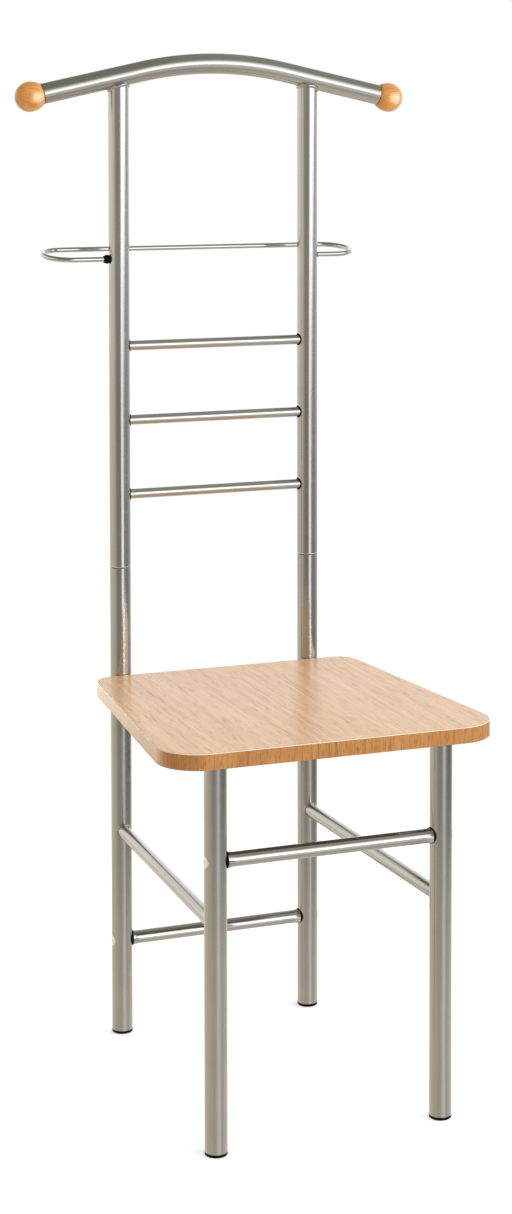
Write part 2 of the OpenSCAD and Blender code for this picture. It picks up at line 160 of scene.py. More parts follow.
def silverFinish(axis):  # satin silver lacquer with fine flake, drawn along one axis
    finish, kit = newFinish("silver_lacquer_" + axis)
    place = kit.placed()
    flake = kit.add("ShaderNodeTexVoronoi", {}, {"Vector": place, "Scale": silver["flakes"]}, out="Color")
    sparkle = kit.add("ShaderNodeSeparateColor", {}, {"Color": flake})
    drawn = kit.noise(kit.placed(axisStretch[axis]), silver["drawing"], 3, 0.6)
    cloudy = kit.noise(place, silver["clouds"], 3, 0.55)
    worn = kit.noise(place, silver["wear"], 4, 0.6, 0.4)
    base = kit.colour(sparkle * 0.35, silver["colour"], silver["fleck"])
    base = kit.colour(kit.spread(drawn, 0.35, 0.75) * 0.35, base, silver["shadow"])
    base = kit.colour(kit.spread(cloudy, 0.4, 0.7) * 0.25, base, silver["shadow"])
    rough = silver["roughness"] + (drawn - 0.5) * 0.04 + kit.spread(worn, 0.5, 0.8) * silver["smudge"]
    height = drawn * 0.6 + sparkle * 0.2 + worn * 0.2
    shade(kit, {"Metallic": silver["metal"], "Specular_IOR_Level": 0.5, "Coat_Roughness": 0.06},
          Base_Color=base, Roughness=rough, Coat_Weight=silver["coat"] + sparkle * 0.04,
          Normal=bumped(kit, height, silver["grain"]))
    return finish


plated = {
    "colour": tone(205, 205, 203), "dull": tone(184, 184, 182), "pit": tone(120, 118, 114),
    "bright": tone(250, 250, 249), "haze": 60, "pits": 260, "grain": 0.0000015,
}


def platedFinish(name, axis, roughness, lines, bright=0):  # bright plating with fine polishing lines
    finish, kit = newFinish(name)
    place = kit.placed()
    polish = kit.noise(kit.placed(axisStretch[axis]), lines, 3, 0.6)
    haze = kit.noise(place, plated["haze"], 4, 0.6, 0.3)
    pits = kit.add("ShaderNodeTexVoronoi", {}, {"Vector": place, "Scale": plated["pits"]}, out="Distance")
    pit = kit.spread(pits, 0.10, 0.04)
    base = kit.colour(kit.spread(polish, 0.4, 0.8) * 0.4, plated["colour"], plated["dull"])
    base = kit.colour(pit * 0.3, base, plated["pit"])
    base = kit.colour(bright, base, plated["bright"])
    rough = roughness + kit.spread(polish, 0.4, 0.8) * 0.05 + kit.spread(haze, 0.5, 0.8) * 0.07 + pit * 0.15
    shade(kit, {"Metallic": 1.0}, Base_Color=base, Roughness=rough,
          Normal=bumped(kit, polish - pit * 0.6, plated["grain"]))
    return finish


zinc = {
    "colour": tone(176, 180, 184), "blue": tone(158, 166, 176), "stain": tone(128, 126, 120), "spangle": 95,
    "stains": 90, "scratches": 700, "metal": 0.95, "roughness": 0.42, "grain": 0.00002,
}


def zincFinish():  # zinc-plated steel with a faint spangle
    finish, kit = newFinish("zinc_plate")
    place = kit.placed()
    spangle = kit.add("ShaderNodeTexVoronoi", {"feature": "SMOOTH_F1"}, {
        "Vector": place, "Scale": zinc["spangle"]}, out="Color")
    cell = kit.add("ShaderNodeSeparateColor", {}, {"Color": spangle})
    stain = kit.noise(place, zinc["stains"], 5, 0.65, 0.6)
    scratch = kit.noise(kit.placed((1, 0.03, 1)), zinc["scratches"], 2, 0.5)
    base = kit.colour(cell * 0.7, zinc["colour"], zinc["blue"])
    base = kit.colour(kit.spread(stain, 0.45, 0.75) * 0.45, base, zinc["stain"])
    rough = zinc["roughness"] + (cell - 0.5) * 0.16 + kit.spread(scratch, 0.55, 0.8) * 0.12
    shade(kit, {"Metallic": zinc["metal"]}, Base_Color=base, Roughness=rough,
          Normal=bumped(kit, stain * 0.6 + scratch * 0.4, zinc["grain"]))
    return finish


plastic = {
    "colour": tone(4, 4, 4), "grey": tone(13, 13, 13), "grains": 1900, "flow": 120, "scuffs": 420,
    "roughness": 0.5, "grain": 0.00003,
}


def plasticFinish():  # moulded black plastic, finely grained and a little scuffed
    finish, kit = newFinish("moulded_black")
    place = kit.placed()
    grain = kit.add("ShaderNodeTexVoronoi", {}, {"Vector": place, "Scale": plastic["grains"]}, out="Distance")
    flow = kit.noise(place, plastic["flow"], 4, 0.6, 0.5)
    scuff = kit.spread(kit.noise(place, plastic["scuffs"], 3, 0.7, 0.8), 0.62, 0.78)
    base = kit.colour(kit.spread(flow, 0.4, 0.75) * 0.35 + scuff * 0.4, plastic["colour"], plastic["grey"])
    rough = plastic["roughness"] + grain * 0.12 + scuff * 0.14
    shade(kit, {"Specular_IOR_Level": 0.14}, Base_Color=base, Roughness=rough,
          Normal=bumped(kit, grain + flow * 0.4, plastic["grain"]))
    return finish


# rim is a painted highlight along the laminate's eased top edge, between the two heights given after it
beech = {
    "pale": tone(235, 195, 152), "mid": tone(227, 183, 137), "dark": tone(196, 142, 93),
    "fleck": tone(160, 104, 62), "rim": tone(250, 226, 198), "rimHighlightHeights": (0.44196, 0.44175),
    "roughness": 0.27, "grain": 0.00002,
}


def laminateFinish():  # beech laminate: grain from front to back, with short flecks, and a painted highlight on its eased rim
    finish, kit = newFinish("beech_laminate")
    bands = kit.noise(kit.placed((64, 1.8, 1)), 1, 4, 0.55, 0.35)
    lines = kit.noise(kit.placed((480, 4, 1)), 1, 4, 0.62, 0.25)
    threads = kit.noise(kit.placed((1150, 9, 1)), 1, 2, 0.5)
    flecks = kit.noise(kit.placed((1000, 34, 1), move=(3, 7, 0)), 1, 1, 0.4)
    cloud = kit.noise(kit.placed((9, 4, 1)), 1, 2, 0.5)
    fleck = kit.spread(flecks, 0.60, 0.70)
    base = kit.colour(0.3 + kit.spread(bands, 0.32, 0.68) * 0.4, beech["pale"], beech["mid"])
    base = kit.colour(kit.spread(lines, 0.48, 0.70) * 0.46, base, beech["dark"])
    base = kit.colour(kit.spread(threads, 0.46, 0.66) * 0.55, base, beech["dark"])
    base = kit.colour(fleck * 0.5, base, beech["fleck"])
    base = kit.colour(kit.spread(cloud, 0.45, 0.8) * 0.2, base, beech["mid"])
    level = kit.add("ShaderNodeSeparateXYZ", {}, {"Vector": kit.placed()}, out="Z")
    base = kit.colour(kit.spread(level, *beech["rimHighlightHeights"]), base, beech["rim"])  # the eased rim is painted paler: a painted highlight where the rounding catches the light
    rough = beech["roughness"] + (lines - 0.5) * 0.12 + fleck * 0.08
    height = (1 - lines) * 0.6 + (1 - threads) * 0.3 - fleck * 0.5
    shade(kit, {"Specular_IOR_Level": 0.5}, Base_Color=base, Roughness=rough,
          Normal=bumped(kit, height, beech["grain"]))
    return finish


edging = {
    "light": tone(199, 141, 75), "mid": tone(181, 121, 58), "dark": tone(146, 90, 38),
    "pore": tone(126, 78, 40), "roughness": 0.42, "grain": 0.00004,
}


def edgingFinish():  # beech edging, its grain across the strip
    finish, kit = newFinish("beech_edging")
    broad = kit.noise(kit.placed((22, 22, 3)), 1, 3, 0.5, 0.3)
    upright = kit.noise(kit.placed((760, 760, 20)), 1, 4, 0.6, 0.3)
    fine = kit.noise(kit.placed((1500, 1500, 60)), 1, 2, 0.5)
    pores = kit.spread(kit.noise(kit.placed((900, 900, 120), move=(5, 2, 1)), 1, 1, 0.4), 0.6, 0.7)
    base = kit.colour(kit.spread(broad, 0.3, 0.7) * 0.8, edging["light"], edging["mid"])
    base = kit.colour(kit.spread(upright, 0.44, 0.66) * 0.65, base, edging["dark"])
    base = kit.colour(kit.spread(fine, 0.48, 0.7) * 0.35, base, edging["light"])
    base = kit.colour(pores * 0.4, base, edging["pore"])
    rough = edging["roughness"] + (upright - 0.5) * 0.14 + pores * 0.1
    shade(kit, {"Specular_IOR_Level": 0.4}, Base_Color=base, Roughness=rough,
          Normal=bumped(kit, 1 - upright - pores * 0.6, edging["grain"]))
    return finish


turnedWood = {
    "light": tone(226, 155, 69), "mid": tone(213, 137, 54), "dark": tone(172, 96, 34),
    "fleck": tone(158, 92, 44), "roughness": 0.34, "varnish": 0.85, "varnishRoughness": 0.32,
    "grain": 0.000006,
}


def knobFinish():  # varnished turned beech, its grain across the chair
    finish, kit = newFinish("turned_beech")
    rings = kit.noise(kit.placed((8, 120, 120)), 1, 3, 0.5, 0.5)
    grain = kit.noise(kit.placed((45, 520, 520)), 1, 3, 0.6, 0.3)
    fleck = kit.spread(kit.noise(kit.placed((210, 1300, 1300)), 1, 1, 0.4), 0.60, 0.70)
    base = kit.colour(kit.spread(rings, 0.35, 0.7), turnedWood["light"], turnedWood["mid"])
    base = kit.colour(kit.spread(grain, 0.45, 0.74) * 0.55, base, turnedWood["dark"])
    base = kit.colour(fleck * 0.3, base, turnedWood["fleck"])
    rough = turnedWood["roughness"] + (grain - 0.5) * 0.1
    shine = {"Specular_IOR_Level": 0.3, "Coat_Roughness": turnedWood["varnishRoughness"], "Coat_IOR": 1.5}
    shade(kit, shine, Base_Color=base, Roughness=rough, Coat_Weight=turnedWood["varnish"] + fleck * 0.1,
          Normal=bumped(kit, 1 - grain - fleck * 0.5, turnedWood["grain"]))
    return finish


# back is a paler grey painted on the rear of the underside, standing for the light that reaches it there
backing = {
    "colour": tone(112, 91, 70), "dark": tone(80, 62, 45), "back": tone(150, 136, 118), "paintedLightFrom": -0.13,
    "paintedLightTo": 0.05, "roughness": 0.7, "grain": 0.00005,
}


def backingFinish():  # the brown sheet under the seat, and the laminate's cut edge, with painted light towards the back
    finish, kit = newFinish("brown_backing")
    place = kit.placed()
    fibre = kit.noise(kit.placed((1, 0.25, 1)), 260, 5, 0.7, 0.5)
    cloud = kit.noise(place, 14, 3, 0.5)
    base = kit.colour(kit.spread(fibre, 0.4, 0.75) * 0.8, backing["colour"], backing["dark"])
    base = kit.colour(kit.spread(cloud, 0.4, 0.7) * 0.3, base, backing["dark"])
    along = kit.add("ShaderNodeSeparateXYZ", {}, {"Vector": place}, out="Y")
    paintedBackLight = kit.spread(along, backing["paintedLightFrom"], backing["paintedLightTo"])  # painted light: greyer and paler towards the back, where more light reaches the underside
    base = kit.colour(paintedBackLight * 0.8, base, backing["back"])
    rough = backing["roughness"] + (fibre - 0.5) * 0.2
    shade(kit, {"Specular_IOR_Level": 0.3}, Base_Color=base, Roughness=rough,
          Normal=bumped(kit, fibre, backing["grain"]))
    return finish


finishes = {
    "silverX": silverFinish("x"),
    "silverY": silverFinish("y"),
    "silverZ": silverFinish("z"),
    "platedTube": platedFinish("bright_plate_tube", "x", roughness=0.07, lines=1500),
    "platedWire": platedFinish("bright_plate_wire", "x", roughness=0.11, lines=2100),
    "platedScrew": platedFinish("bright_plate_screw", "z", roughness=0.22, lines=1200, bright=0.85),
    "burnished": platedFinish("burnished_edge", "z", roughness=0.5, lines=1200, bright=0.9),
    "zinc": zincFinish(),
    "plastic": plasticFinish(),
    "laminate": laminateFinish(),
    "edging": edgingFinish(),
    "knob": knobFinish(),
    "backing": backingFinish(),
}
plasticParts = ("foot_", "stretcher_plug_", "post_connector_", "trouser_bar_bush_")
cadFinishes = {
    "silverZ": [
        "front_leg_left", "front_leg_right", "back_leg_left", "back_leg_right", "post_left", "post_right"],
    "silverY": ["side_stretcher_left", "side_stretcher_right"],
    "silverX": ["hanger_bar"] + [name for name in nodes if name.startswith("seat_bracket_")],
    "platedTube": ["front_stretcher", "back_stretcher", "rung_top", "rung_middle", "rung_bottom"],
    "platedWire": ["trouser_bar"],
    "platedScrew": ["stretcher_screws"],
    "zinc": ["stretcher_nuts", "seat_screws"],
    "plastic": [name for name in nodes if name.startswith(plasticParts)],
    "laminate": ["seat_panel"],
    "edging": ["seat_edge_band"],
    "knob": ["knob_left", "knob_right"],
}
for finishName, nodeNames in cadFinishes.items():
    for nodeName in nodeNames:
        for holder in nodes[nodeName].material_slots:
            holder.material = finishes[finishName]
print("finishes made:", len(finishes))


# sizes that the pieces share, in metres, as in the part's source
chair = {
    "backY": 0.161446, "frontY": -0.204554, "backLegX": 0.122, "frontLegX": 0.133, "tubeR": 0.0125,
    "tubeWall": 0.0015, "frontZ": 0.320, "backZ": 0.114, "sideZ": 0.250, "rungsZ": (0.840, 0.750, 0.660),
    "hangerZ": 1.180, "bendR": 0.430, "slope": math.radians(12.4), "span": 0.463,
}


def legPoint(side, leg, height):  # on the axis of a leg, or of the post above it
    return Vector((side * chair[leg + "LegX"], chair[leg + "Y"], height))


def bendPoint(a):  # on the bend of the hanger bar, at an angle from its middle
    radius = chair["bendR"]
    return Vector((radius * math.sin(a), chair["backY"], chair["hangerZ"] - radius * (1 - math.cos(a))))


def armStart(side):  # where an arm of the hanger bar leaves its bend
    return bendPoint(side * chair["slope"])


def armDirection(side):
    return Vector((side * math.cos(chair["slope"]), 0, -math.sin(chair["slope"])))


def armLength():  # of an arm, to the middle of its knob
    return (chair["span"] / 2 - armStart(1).x) / math.cos(chair["slope"])


def newPiece(name, mesh, body, replaced=(), finish=None, crease=35):
    if finish:
        mesh.materials.append(finishes[finish])
    mesh.shade_smooth()
    mesh.set_sharp_from_angle(angle=math.radians(crease))
    piece = bpy.data.objects.new(name, mesh)
    scene.collection.objects.link(piece)
    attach(piece, body)
    if replaced:
        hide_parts(*replaced)


def outwardMesh(work, name):  # a bmesh as a mesh whose faces point outwards
    bmesh.ops.recalc_face_normals(work, faces=work.faces)
    mesh = bpy.data.meshes.new(name)
    work.to_mesh(mesh)
    work.free()
    return mesh


def lathe(profile, turns=96):  # turns (radius, height) points about Z; radius 0 closes a pole
    work = bmesh.new()
    rings = []
    for radius, height in profile:
        count = 1 if radius == 0 else turns
        rings.append([
            work.verts.new((
                radius * math.cos(math.tau * i / turns), radius * math.sin(math.tau * i / turns), height))
            for i in range(count)])
    for low, high in zip(rings, rings[1:]):
        for i in range(turns):
            j = (i + 1) % turns
            corners = [low[i % len(low)], low[j % len(low)], high[j % len(high)], high[i % len(high)]]
            work.faces.new(list(dict.fromkeys(corners)))
    return outwardMesh(work, "turned")


def pathMesh(points, closed=False):
    count = len(points)
    edges = [(i, (i + 1) % count) for i in range(count if closed else count - 1)]
    return points, edges


def joinedPaths(paths):  # several paths as one mesh of points and edges
    points = []
    edges = []
    for somePoints, someEdges in paths:
        edges += [(a + len(points), b + len(points)) for a, b in someEdges]
        points += [tuple(p) for p in somePoints]
    mesh = bpy.data.meshes.new("paths")
    mesh.from_pydata(points, edges, [])
    return mesh


def newTree(name, inputs):  # a Geometry Nodes group with named inputs
    group = bpy.data.node_groups.new(name, "GeometryNodeTree")
    group.interface.new_socket("Geometry", in_out="OUTPUT", socket_type="NodeSocketGeometry")
    group.interface.new_socket("Geometry", in_out="INPUT", socket_type="NodeSocketGeometry")
    for label, (kind, value) in inputs.items():
        socket = group.interface.new_socket(label, in_out="INPUT", socket_type="NodeSocket" + kind)
        if value is not None:
            socket.default_value = value
    kit = NodeKit(group)
    return group, kit, kit.add("NodeGroupInput")


def endTree(kit, given, geometry):  # plain geometry with its material, as the export needs
    real = kit.add("GeometryNodeRealizeInstances", {}, {"Geometry": geometry})
    done = kit.add("GeometryNodeSetMaterial", {}, {"Geometry": real, "Material": given.also("Material")})
    kit.add("NodeGroupOutput", {}, {"Geometry": done})


def runTree(group, mesh, values):  # the mesh that a group makes from another
    holder = bpy.data.objects.new("holder", mesh)
    scene.collection.objects.link(holder)
    modifier = holder.modifiers.new("nodes", "NODES")
    modifier.node_group = group
    for item in group.interface.items_tree:
        if item.in_out == "INPUT" and item.name in values:
            modifier[item.identifier] = values[item.name]
    ready = holder.evaluated_get(bpy.context.evaluated_depsgraph_get())
    made = bpy.data.meshes.new_from_object(ready)
    holder.modifiers.remove(modifier)
    bpy.data.objects.remove(holder)
    return made


def tubeTree():  # a round tube or a solid wire along a path
    group, kit, given = newTree("tubeAlongPath", {
        "Radius": ("Float", 0.01), "Wall": ("Float", 0.001), "Sides": ("Int", 96), "Solid": ("Bool", False),
        "Material": ("Material", None),
    })
    path = kit.add("GeometryNodeMeshToCurve", {}, {"Mesh": given.also("Geometry")})
    section = kit.add("GeometryNodeCurvePrimitiveCircle", {}, {
        "Resolution": given.also("Sides"), "Radius": given.also("Radius")})
    skin = kit.add("GeometryNodeCurveToMesh", {}, {
        "Curve": path, "Profile Curve": section, "Fill Caps": given.also("Solid")})
    inner = kit.add("GeometryNodeExtrudeMesh", {"mode": "FACES"}, {
        "Mesh": skin, "Offset Scale": -given.also("Wall"), "Individual": False})
    bore = kit.add("GeometryNodeFlipFaces", {}, {"Mesh": inner})
    both = kit.add("GeometryNodeJoinGeometry", {}, {"Geometry": skin})
    kit.tree.links.new(bore.socket, both.socket.node.inputs[0])
    whole = kit.add("GeometryNodeMergeByDistance", {}, {"Geometry": both, "Distance": 0.000002})
    chosen = kit.add("GeometryNodeSwitch", {"input_type": "GEOMETRY"}, {
        "Switch": given.also("Solid"), "False": whole, "True": skin})
    endTree(kit, given, chosen)
    return group


def beadTree():  # a rippled weld bead, or a plain ring, along a path
    group, kit, given = newTree("beadAlongPath", {
        "Radius": ("Float", 0.002), "Ripple length": ("Float", 0.002), "Ripple depth": ("Float", 0.12),
        "Unevenness": ("Float", 0.2), "Sides": ("Int", 12), "Seed": ("Float", 1.0),
        "Material": ("Material", None),
    })
    path = kit.add("GeometryNodeMeshToCurve", {}, {"Mesh": given.also("Geometry")})
    along = kit.add("GeometryNodeSplineLength")
    ripples = kit.maths("ROUND", along / given.also("Ripple length"))
    fine = kit.add("GeometryNodeResampleCurve", {"mode": "LENGTH"}, {
        "Curve": path, "Length": given.also("Ripple length") / 7})
    factor = kit.add("GeometryNodeSplineParameter", out="Factor")
    wave = kit.maths("ABSOLUTE", kit.maths("SINE", factor * ripples * math.pi))
    place = kit.add("GeometryNodeInputPosition")
    lumps = kit.add("ShaderNodeTexNoise", {"noise_dimensions": "4D"}, {
        "Vector": place, "W": given.also("Seed"), "Scale": 260.0, "Detail": 2.0})
    swell = 1 + wave * given.also("Ripple depth") + (lumps - 0.5) * 2 * given.also("Unevenness")
    swollen = kit.add("GeometryNodeSetCurveRadius", {}, {"Curve": fine, "Radius": swell})
    section = kit.add("GeometryNodeCurvePrimitiveCircle", {}, {
        "Resolution": given.also("Sides"), "Radius": given.also("Radius")})
    bead = kit.add("GeometryNodeCurveToMesh", {}, {
        "Curve": swollen, "Profile Curve": section, "Fill Caps": True})
    endTree(kit, given, bead)
    return group


def screwTree():  # one screw copied to each point, turned by the point's angles
    group, kit, given = newTree("screwsAtPoints", {"Screw": ("Object", None), "Material": ("Material", None)})
    screw = kit.add("GeometryNodeObjectInfo", {}, {"Object": given.also("Screw")}, out="Geometry")
    facing = kit.add("GeometryNodeInputNamedAttribute", {"data_type": "FLOAT_VECTOR"}, {"Name": "facing"})
    turn = kit.add("FunctionNodeEulerToRotation", {}, {0: facing})
    placed = kit.add("GeometryNodeInstanceOnPoints", {}, {
        "Points": given.also("Geometry"), "Instance": screw, "Rotation": turn})
    endTree(kit, given, placed)
    return group


tubeGroup = tubeTree()
beadGroup = beadTree()
screwGroup = screwTree()


seat = {
    "top": 0.442, "bottom": 0.424, "frontWidth": 0.400, "backWidth": 0.332, "frontY": -0.222554,
    "backY": 0.148646, "shift": 0.006, "frontR": 0.046, "backR": 0.025, "laminate": 0.0011,
    "cutEdge": 0.00015, "band": 0.001, "ease": 0.0009, "bandEase": 0.00025, "lowerEase": 0.0003,
    "fit": 0.00005, "inner": 0.003, "support": 0.0008,
}


def seatOutline(inset, steps=26):  # the seat's rounded outline, pulled in by inset
    front = seat["frontWidth"] / 2
    back = seat["backWidth"] / 2
    corners = [
        Vector((-front, seat["frontY"])), Vector((front, seat["frontY"])),
        Vector((back, seat["backY"])), Vector((-back, seat["backY"]))]
    radii = [seat["frontR"], seat["frontR"], seat["backR"], seat["backR"]]
    points = []
    for i in range(4):
        toLast = (corners[i - 1] - corners[i]).normalized()
        toNext = (corners[(i + 1) % 4] - corners[i]).normalized()
        half = math.acos(toLast.dot(toNext)) / 2
        centre = corners[i] + (toLast + toNext).normalized() * radii[i] / math.sin(half)
        start = math.atan2(-toLast.x, toLast.y) + math.pi
        for k in range(steps + 1):
            angle = start + (math.pi - 2 * half) * k / steps
            around = Vector((math.cos(angle), math.sin(angle)))
            points.append(centre + (radii[i] - inset) * around + Vector((seat["shift"], 0)))
    return points


def stackedOutlines(levels, closed):  # a solid from levels: inset, height, material of the faces above
    work = bmesh.new()
    rings = [[work.verts.new((p.x, p.y, level[1])) for p in seatOutline(level[0])] for level in levels]
    for k in range(len(rings) if closed else len(rings) - 1):
        low = rings[k]
        high = rings[(k + 1) % len(rings)]
        for i in range(len(low)):
            j = (i + 1) % len(low)
            work.faces.new((low[i], low[j], high[j], high[i])).material_index = levels[k][2]
    if not closed:
        work.faces.new(list(reversed(rings[0]))).material_index = levels[0][2]
        work.faces.new(rings[-1]).material_index = levels[-1][2]
    return outwardMesh(work, "outlined")


def easedRim(inset, height, ease, steps, rising, material):  # a quarter round between a side and a face
    levels = []
    for k in range(steps + 1):
        angle = math.pi / 2 * k / steps
        out = ease * (1 - math.cos(angle)) if rising else ease * (1 - math.sin(angle))
        up = -ease * (1 - math.sin(angle)) if rising else ease * (1 - math.cos(angle))
        levels.append((inset + out, height + up, material))
    return levels


def makeSeat():
    top, band, fit, inner, support = (seat[name] for name in ("top", "band", "fit", "inner", "support"))
    under = top - seat["laminate"]
    wood, core = 0, 1  # the board's materials
    board = stackedOutlines(
        [(band + inner, seat["bottom"], core)]
        + easedRim(band, seat["bottom"], seat["lowerEase"], 2, False, core)
        + [(band, under, core), (fit, under, core), (fit, under + seat["cutEdge"], core)]
        + easedRim(fit, top, seat["ease"], 5, True, wood)[:-1]
        + [(fit + seat["ease"], top, wood), (inner, top, wood)], False)
    board.materials.append(finishes["laminate"])
    board.materials.append(finishes["backing"])
    newPiece("seat_board", board, "lower_frame", ["seat_panel"], crease=50)
    low = seat["bottom"] + 2 * fit
    high = under - fit
    strip = stackedOutlines(
        easedRim(0.0, low, seat["lowerEase"], 3, False, 0)
        + [(0.0, low + support, 0), (0.0, high - support, 0)]
        + easedRim(0.0, high, seat["bandEase"], 3, True, 0)
        + [(band - fit, high, 0), (band - fit, low, 0)], True)
    newPiece("seat_edging", strip, "lower_frame", ["seat_edge_band"], "edging", crease=50)


makeSeat()
print("seat made")


knob = {
    "radius": 0.018, "flat": 0.0148, "lip": 0.0128, "gap": 0.0006, "tenonR": 0.01095, "tenon": 0.018,
    "round": 0.0006, "bevel": 0.001,
}


def makeHangerBar():
    steps = 24
    reach = armLength() - knob["flat"] - knob["gap"]
    bend = [bendPoint(chair["slope"] * k / steps) for k in range(-steps, steps + 1)]
    ends = [armStart(side) + armDirection(side) * reach for side in (-1, 1)]
    points = [ends[0]] + bend + [ends[1]]
    made = runTree(tubeGroup, joinedPaths([pathMesh(points)]), {
        "Radius": chair["tubeR"], "Wall": chair["tubeWall"], "Sides": 128, "Solid": False,
        "Material": finishes["silverX"]})
    newPiece("hanger_tube", made, "back_frame", ["hanger_bar"])


def makeKnob(side):
    radius, flat, lip, soft = (knob[name] for name in ("radius", "flat", "lip", "round"))
    tenonR, bevel = knob["tenonR"], knob["bevel"]
    edge = math.acos(lip / radius)
    full = flat / math.sin(edge)
    deep = -flat - knob["gap"] - knob["tenon"]
    outer = [math.pi / 2 * k / 28 for k in range(1, 29)]
    inner = [edge * k / 16 for k in range(1, 16)]
    profile = [(0, radius)]
    profile += [(radius * math.sin(a), radius * math.cos(a)) for a in outer]
    profile += [(radius * math.cos(a), -full * math.sin(a)) for a in inner]
    profile += [(lip - soft / 12, soft * 0.8 - flat), (lip - soft / 2, soft * 0.2 - flat)]
    profile += [(lip - soft, -flat), (tenonR, -flat)]
    profile += [(tenonR, deep + bevel), (tenonR - bevel, deep), (0, deep)]
    mesh = lathe(profile)
    turn = armDirection(side).to_track_quat("Z", "Y").to_matrix().to_4x4()
    mesh.transform(Matrix.Translation(armStart(side) + armDirection(side) * armLength()) @ turn)
    label = "left" if side < 0 else "right"
    newPiece("wooden_knob_" + label, mesh, "back_frame", ["knob_" + label], "knob", crease=40)


makeHangerBar()
for side in (-1, 1):
    makeKnob(side)
print("hanger bar and knobs made")


trouser = {
    "wireR": 0.003, "z": 0.945, "depth": 0.0588, "length": 0.403, "shift": 0.009,
    "rise": math.radians(8.8), "end": 0.119,
}


def makeTrouserBar():
    bendR = trouser["depth"] / 2
    half = trouser["length"] / 2 - trouser["wireR"] - bendR
    left = -half - trouser["shift"]
    right = half - trouser["shift"]
    steps = 40
    turns = [math.pi * k / steps for k in range(steps + 1)]
    flat = [(-trouser["end"], 0)]
    flat += [(left - bendR * math.sin(a), bendR - bendR * math.cos(a)) for a in turns]
    flat += [(right + bendR * math.sin(a), bendR + bendR * math.cos(a)) for a in turns]
    flat += [(trouser["end"], 0)]
    out = math.cos(trouser["rise"])
    up = math.sin(trouser["rise"])
    points = [Vector((x, chair["backY"] + y * out, trouser["z"] + y * up)) for x, y in flat]
    made = runTree(tubeGroup, joinedPaths([pathMesh(points)]), {
        "Radius": trouser["wireR"], "Sides": 40, "Solid": True, "Material": finishes["platedWire"]})
    newPiece("trouser_wire", made, "trouser_bar", ["trouser_bar"], crease=50)


makeTrouserBar()
print("trouser bar made")


# a bead's own size, then where its path runs: off a leg, and round a tube or hole of radius around
beads = {
    "post_welds": {
        "radius": 0.0026, "ripple": 0.0028, "depth": 0.22, "uneven": 0.30, "sides": 14, "seed": 3.0,
        "inset": 0.0010, "hug": 0.0006, "endRise": 0.0028, "drop": 0.0002},
    "side_stretcher_welds": {
        "radius": 0.0012, "ripple": 0.0018, "depth": 0.2, "uneven": 0.25, "sides": 10, "seed": 5.0,
        "off": 0.0002, "around": 0.0083},
    "saddle_lips": {
        "radius": 0.0011, "ripple": 0.004, "depth": 0.0, "uneven": 0.06, "sides": 10, "seed": 4.0,
        "off": 0.0007, "around": 0.0081},
    "post_end_edges": {
        "radius": 0.00065, "ripple": 0.003, "depth": 0.0, "uneven": 0.25, "sides": 12, "seed": 2.0,
        "inset": 0.0006, "z": 0.5733},
    # a dark ring in the gap between each knob and its tube: painted shade for the gap
    "knob_washers": {
        "radius": 0.0005, "ripple": 0.004, "depth": 0.0, "uneven": 0.08, "sides": 8, "seed": 9.0,
        "around": 0.0121},
    # a dark ring round each rung where it enters its post: painted shade for the gap round the hole
    "rung_seams": {
        "radius": 0.0008, "ripple": 0.004, "depth": 0.0, "uneven": 0.12, "sides": 8, "seed": 7.0,
        "off": 0.0001, "around": 0.0067},
}


def fullTurn(steps):  # angles once round
    return [math.tau * k / steps for k in range(steps)]


def collarPath(side, steps=180):  # round the top of a post, under the hanger bar
    size = beads["post_welds"]
    radius = chair["tubeR"]
    inner = radius - size["inset"]
    points = []
    for a in fullTurn(steps):
        x = side * chair["backLegX"] + inner * math.cos(a)
        y = inner * math.sin(a)
        fromStart = (x - armStart(side).x) * side
        hug = math.sqrt(max((radius + size["hug"]) ** 2 - y * y, 0))
        drop = max(hug, radius - size["endRise"]) + size["drop"]
        z = armStart(side).z + (-drop - fromStart * math.sin(chair["slope"])) / math.cos(chair["slope"])
        points.append(Vector((x, chair["backY"] + y, z)))
    return pathMesh(points, True)


def saddlePath(name, centre, along, steps=96):  # where a tube meets the side of an upright one
    bigR = chair["tubeR"] + beads[name]["off"]
    smallR = beads[name]["around"]
    across = Vector((-along.y, along.x, 0))
    points = []
    for a in fullTurn(steps):
        out = along * math.sqrt(bigR ** 2 - (smallR * math.cos(a)) ** 2)
        points.append(centre + out + across * smallR * math.cos(a) + Vector((0, 0, smallR * math.sin(a))))
    return pathMesh(points, True)


def ringPath(centre, first, second, radius, steps):  # a circle in the plane of two directions
    return pathMesh([
        centre + first * radius * math.cos(a) + second * radius * math.sin(a) for a in fullTurn(steps)], True)


def addBead(name, paths, body, finish):
    size = beads[name]
    made = runTree(beadGroup, joinedPaths(paths), {
        "Radius": size["radius"], "Ripple length": size["ripple"], "Ripple depth": size["depth"],
        "Unevenness": size["uneven"], "Sides": size["sides"], "Seed": size["seed"],
        "Material": finishes[finish]})
    newPiece(name, made, body, crease=80)


def makeWelds():
    collars = [collarPath(side) for side in (-1, 1)]
    addBead("post_welds", collars, "back_frame", "silverX")
    welds = []
    for side in (-1, 1):
        back = legPoint(side, "back", chair["sideZ"])
        front = legPoint(side, "front", chair["sideZ"])
        along = (front - back).normalized()
        welds.append(saddlePath("side_stretcher_welds", back, along))
        welds.append(saddlePath("side_stretcher_welds", front, -along))
    addBead("side_stretcher_welds", welds, "lower_frame", "silverZ")
